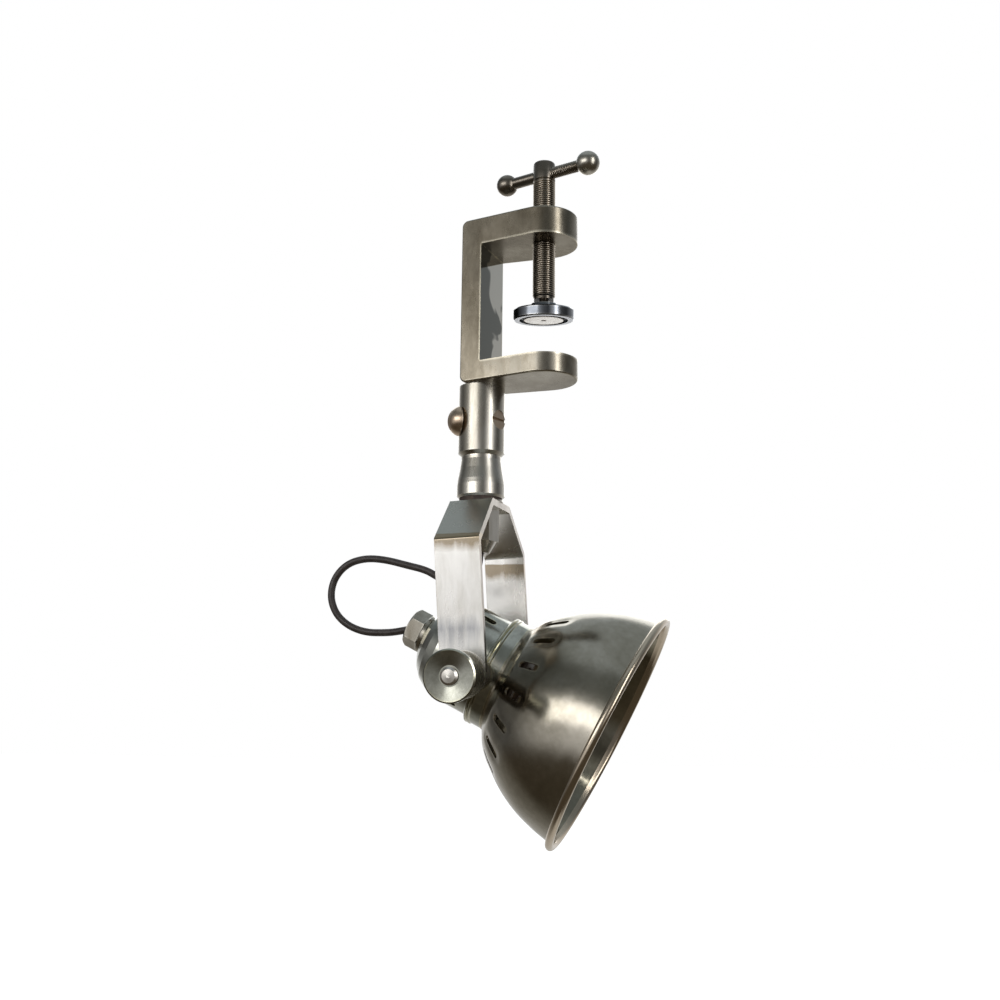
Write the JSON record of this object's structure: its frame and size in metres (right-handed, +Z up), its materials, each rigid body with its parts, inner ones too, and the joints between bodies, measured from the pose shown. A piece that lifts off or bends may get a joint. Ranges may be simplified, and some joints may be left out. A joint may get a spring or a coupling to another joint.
{
  "type": "clamp reading lamp",
  "caption": "Small clamp-on reading lamp: screw clamp, swivelling neck, bent strap yoke with side knobs, and a slotted bowl shade that tilts; a slack cord loop joins stem and head.",
  "frame": {"origin": "centre of the lower jaw's gripping face, on the clamp screw's axis", "axes": "+Z up along the clamp screw, +X out of the clamp's column along the jaws"},
  "size_m": [0.1501, 0.1376, 0.3015],
  "materials": {
    "frame_antique": "satin antique silver plate worn to brass at the edges",
    "nickel": "polished nickel with light patina",
    "dark_steel": "gunmetal, oiled",
    "pale_silver": "bright satin silver",
    "strap_silver": "bright satin silver, browned at the bends",
    "blued_steel": "dark blue-grey, polished",
    "green_nickel": "grey-green aged nickel",
    "shade_bronze": "dark bronze-grey, polished",
    "copper_screw": "worn coppery brass",
    "brass": "satin",
    "fibre": "matt",
    "rubber": "matt",
    "cord": "smooth, slight sheen",
    "phenolic": "moulded, dull gloss"
  },
  "bodies": {
    "clamp": {"clamp_frame": "frame_antique", "sleeve": "nickel", "sleeve_stud": "dark_steel", "lock_screw": "copper_screw", "grub_screw": "copper_screw"},
    "pad_carriage": {"thrust_washer": "dark_steel"},
    "clamp_screw": {"clamp_screw": "dark_steel"},
    "tommy": {"tommy_bar": "nickel", "bar_ball_small": "dark_steel", "bar_ball_large": "nickel"},
    "pad": {"pressure_pad": "blued_steel", "pad_insert": "pale_silver"},
    "yoke": {"neck": "nickel", "stem_tube": "dark_steel", "fibre_washer": "fibre", "steel_washer": "nickel", "yoke_strap": "strap_silver", "stem_gland_nut": "nickel", "stem_gland_seal": "rubber", "cord_loop": "cord"},
    "head": {"housing": "green_nickel", "collar": "green_nickel", "shade": "shade_bronze", "gland_body": "nickel", "gland_nut": "nickel", "gland_seal": "rubber", "nipple": "dark_steel", "nipple_locknut": "dark_steel", "lampholder_body": "phenolic", "lamp_thread_shell": "brass", "contact_base": "phenolic", "centre_contact": "brass", "lampholder_ring": "phenolic", "terminal_screws": "brass", "pivot_spacers": "dark_steel", "arm_washers": "nickel", "knob_flanges": "nickel", "pivot_bolts": "pale_silver"},
    "knob_front": {"tilt_knob_front": "green_nickel"},
    "knob_rear": {"tilt_knob_rear": "green_nickel"}
  },
  "joints": [
    {"name": "screw_advance", "type": "slide", "parent": "clamp", "child": "pad_carriage", "axis": [0, 0, 1], "range_m": [-0.0158, 0.026]},
    {"name": "screw_turn", "type": "hinge", "parent": "pad_carriage", "child": "clamp_screw", "pos_m": [0, 0, 0.05], "axis": [0, 0, 1], "range_deg": [-5688, 9360]},
    {"name": "bar_slide", "type": "slide", "parent": "clamp_screw", "child": "tommy", "axis": [0.9848, -0.1736, 0], "range_m": [-0.012, 0.0098]},
    {"name": "pad_rock", "type": "hinge", "parent": "pad_carriage", "child": "pad", "pos_m": [0, 0, 0.024], "axis": [0.933, 0.36, 0], "range_deg": [-18.5, 1.5]},
    {"name": "yoke_swivel", "type": "hinge", "parent": "clamp", "child": "yoke", "pos_m": [-0.0292, 0, -0.05], "axis": [0, 0, 1], "range_deg": [-160, 160]},
    {"name": "head_tilt", "type": "hinge", "parent": "yoke", "child": "head", "pos_m": [-0.02686, 0.00614, -0.1344], "axis": [-0.187, 0.9794, 0.0766], "range_deg": [-50, 59], "deforming": ["cord_loop"]},
    {"name": "knob_front_turn", "type": "hinge", "parent": "head", "child": "knob_front", "pos_m": [-0.02686, 0.00614, -0.1344], "axis": [0.187, -0.9794, -0.0766], "range_deg": [0, 180]},
    {"name": "knob_rear_turn", "type": "hinge", "parent": "head", "child": "knob_rear", "pos_m": [-0.02686, 0.00614, -0.1344], "axis": [-0.187, 0.9794, 0.0766], "range_deg": [0, 180]}
  ],
  "couplings": [
    {"joint": "screw_advance", "follows": "screw_turn", "m_per_rad": 0.00015915}
  ]
}
